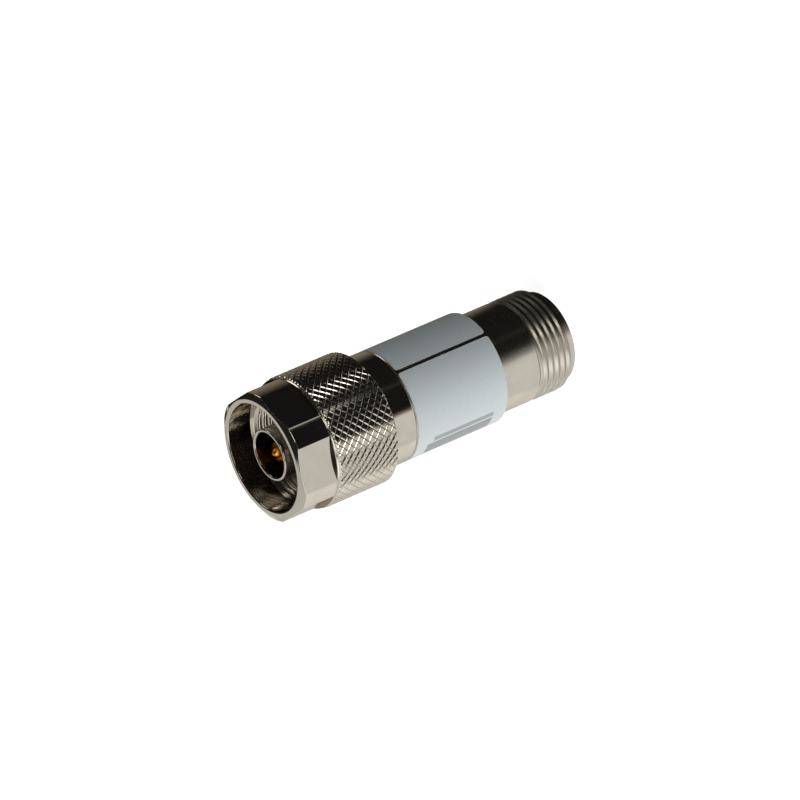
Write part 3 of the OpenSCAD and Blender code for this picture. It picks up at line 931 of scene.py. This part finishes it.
    middle = (0.0, 0.0, 0.028)
    a, e = math.radians(-156.0), math.radians(18.0)
    lamp("side_softbox", (1.2 * math.cos(a) * math.cos(e), 1.2 * math.sin(a) * math.cos(e), 1.2 * math.sin(e)),
         middle, 0.8, 3.2)
    d = Vector((0.125, -0.922, 0.373)).normalized() * 0.8
    lamp("front_lamp", Vector(middle) + d, middle, 0.05, 1.4, (0.93, 0.97, 1.0))
    a, e = math.radians(-72.0), math.radians(22.0)
    lamp("upper_fill", (1.2 * math.cos(a) * math.cos(e), 1.2 * math.sin(a) * math.cos(e), 1.2 * math.sin(e)),
         middle, 0.30, 1.6)

    # small bright cards beside the mouth and the jack that only reflections see
    for name, spot, way, far, size, level in (
            ("glow_card_right", (-0.0037, 0.0067, 0.0475), (0.94, 0.07, 0.32), 0.075, (1.0, 1.0, 1.0), 2.5),
            ("glow_card_front", (-0.0053, 0.0065, 0.0495), (-0.296, -0.829, 0.476), 0.075, (1.2, 1.2, 1.0), 2.2),
            ("glow_card_jack", (0.0005, -0.0078, 0.0040), (0.1625, -0.678, 0.717), 0.100, (0.9, 0.7, 1.0), 6.0)):
        n = Nodes(name)
        co, x, y, z, r = n.place()
        soft = n.ramp(r, 0.011, 0.019, 1.0, 0.0, True)
        glow = n.new("ShaderNodeEmission")
        n.link(n.combine(n.math("MULTIPLY", soft, level), n.math("MULTIPLY", soft, level * 0.96),
                         n.math("MULTIPLY", soft, level * 0.89)), glow.inputs["Color"])
        n.link(glow.outputs[0], n.out.inputs["Surface"])
        mesh = bpy.data.meshes.new(name)
        bm = bmesh.new()
        bmesh.ops.create_circle(bm, cap_ends=True, segments=48, radius=0.020)
        bm.to_mesh(mesh)
        bm.free()
        mesh.materials.append(n.mat)
        card = bpy.data.objects.new(name, mesh)
        way = Vector(way).normalized()
        card.location = Vector(spot) + way * far
        card.scale = size
        card.rotation_euler = (-way).to_track_quat("Z", "Y").to_euler()
        card.visible_camera = False
        card.visible_diffuse = False
        card.visible_shadow = False
        bpy.context.scene.collection.objects.link(card)

    world = bpy.data.worlds.new("studio")
    bpy.context.scene.world = world
    world.use_nodes = True
    tree = world.node_tree
    tree.nodes.clear()
    n = Nodes.__new__(Nodes)
    n.tree = tree
    co = n.new("ShaderNodeTexCoord").outputs["Generated"]
    sep = n.new("ShaderNodeSeparateXYZ")
    n.link(co, sep.inputs[0])
    dx, dy, dz = sep.outputs

    def facing(x, y, z):
        dot = n.new("ShaderNodeVectorMath", operation="DOT_PRODUCT")
        n.link(co, dot.inputs[0])
        dot.inputs[1].default_value = Vector((x, y, z)).normalized()
        return dot.outputs["Value"]

    horizon = n.math("MULTIPLY", n.ramp(dz, 0.03, 0.14, 1.0, 0.0, True), n.ramp(dx, 0.12, -0.10, 0.0, 0.85, True))
    left = n.math("MULTIPLY", n.ramp(dx, -0.30, -0.80, 0.0, 0.95, True), n.ramp(dz, 0.70, 0.92, 1.0, 0.0, True))
    left = n.math("MULTIPLY", left, n.ramp(dy, -0.75, -0.35, 0.0, 1.0, True))
    back = n.math("MULTIPLY", n.ramp(dy, 0.0, 0.40, 0.0, 1.0, True), n.ramp(dz, 0.66, 0.90, 1.0, 0.0, True))
    wide = n.math("MULTIPLY", n.ramp(dz, 0.34, 0.44, 0.0, 1.0, True), n.ramp(dx, 0.28, 0.10, 0.0, 1.0, True))
    back = n.math("MULTIPLY", back, n.math("MAXIMUM", wide, n.ramp(dx, 0.12, -0.02, 0.0, 1.0, True)))
    high = n.math("MULTIPLY", n.ramp(n.math("ADD", dx, dy), -0.23, -0.17, 0.0, 1.0, True),
                  n.ramp(dx, -0.16, -0.28, 0.0, 1.0, True))
    level = n.math("MAXIMUM", n.math("MAXIMUM", horizon, left), n.math("MAXIMUM", back, high))
    colour = n.mix(level, (0.020, 0.020, 0.020, 1.0), (0.76, 0.75, 0.735, 1.0))
    # a brighter window on the left
    colour = n.mix(n.ramp(facing(-0.81, -0.30, 0.50), 0.93, 0.975, 0.0, 1.0, True), colour, (1.75, 1.72, 1.66, 1.0))
    glow = n.new("ShaderNodeBackground")
    n.link(colour, glow.inputs["Color"])
    out = n.new("ShaderNodeOutputWorld")
    n.link(glow.outputs[0], out.inputs["Surface"])


make_camera()
make_body()
make_label()
make_shell()
make_nut()
make_small()
dress_hidden()
make_stage()

view = bpy.context.scene.view_settings
view.view_transform = "Standard"
view.look = "None"
view.exposure = 0.0
view.gamma = 1.0
